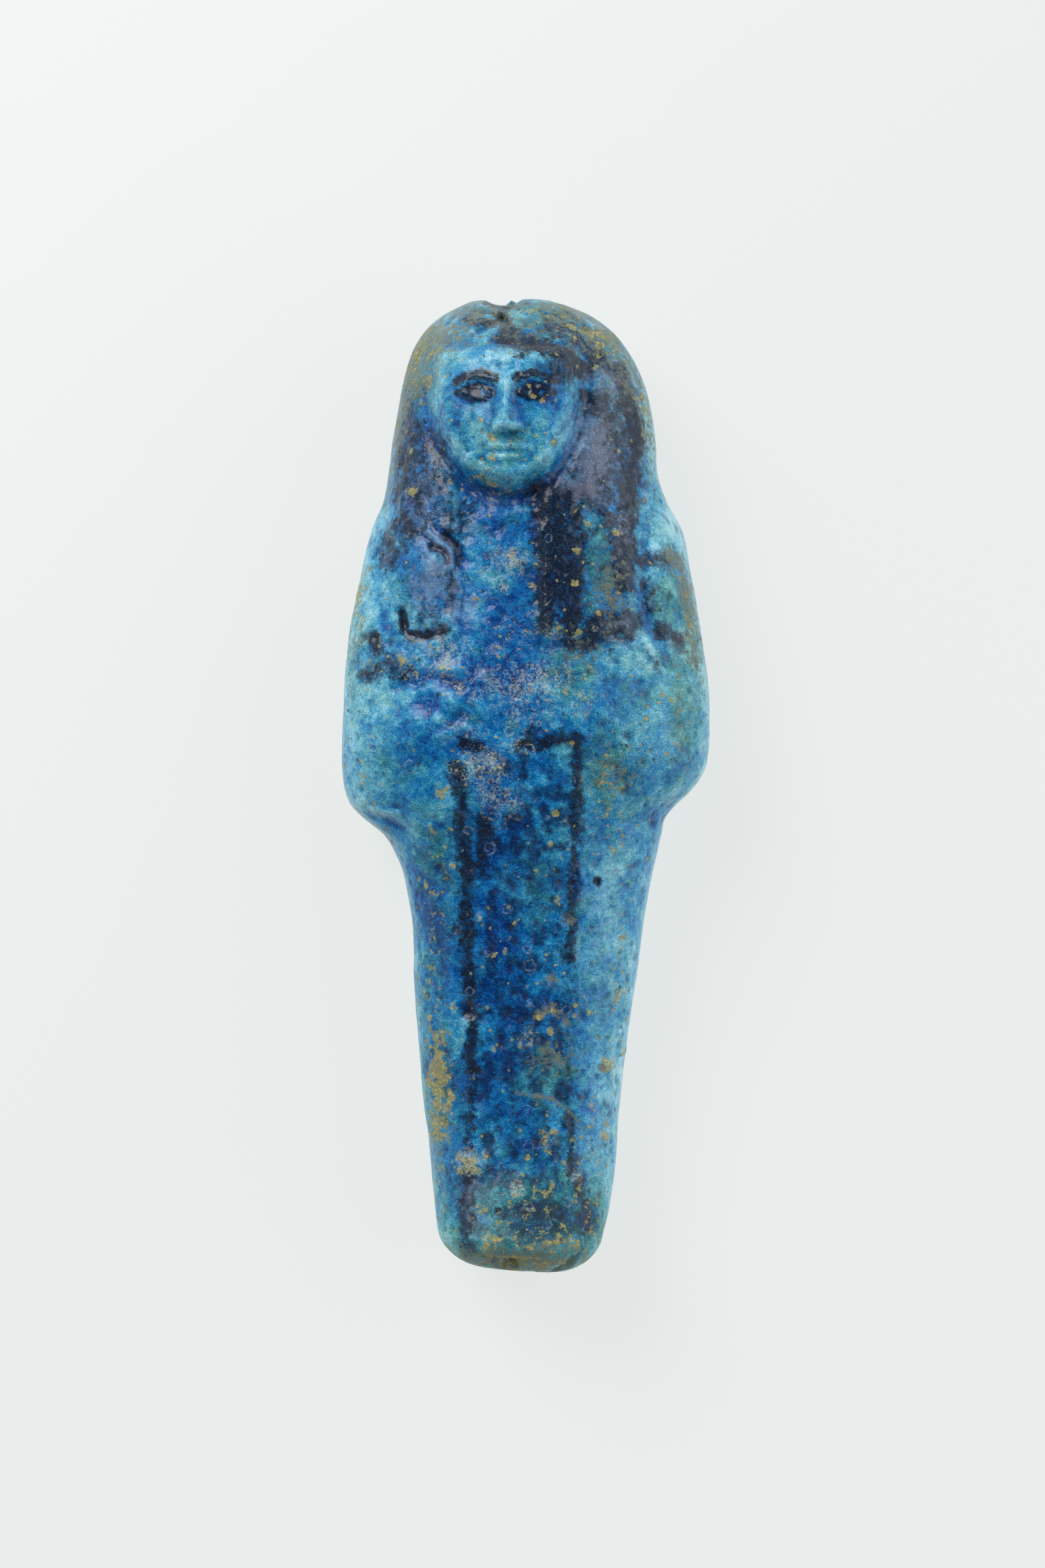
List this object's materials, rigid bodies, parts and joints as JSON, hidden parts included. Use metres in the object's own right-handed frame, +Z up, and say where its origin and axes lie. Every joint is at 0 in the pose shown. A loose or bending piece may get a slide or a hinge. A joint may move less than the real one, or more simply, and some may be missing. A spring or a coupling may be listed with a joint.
{
  "type": "ushabti figurine",
  "caption": "Small mummiform funerary figurine of blue glazed faience with a long wig, folded arms, a painted text column and a flat back that it lies on.",
  "frame": {"origin": "on the surface that the figure lies on, under the middle of its bounding box", "axes": "+Z up out of the face and chest, +Y along the figure towards the crown, +X towards the right of the picture"},
  "size_m": [0.036, 0.095, 0.0229],
  "materials": {
    "faience_glaze": "glossy blue copper glaze with black manganese painting, worn to ochre at the edges"
  },
  "bodies": {
    "root": {"ushabti_figure": "faience_glaze"}
  },
  "joints": []
}
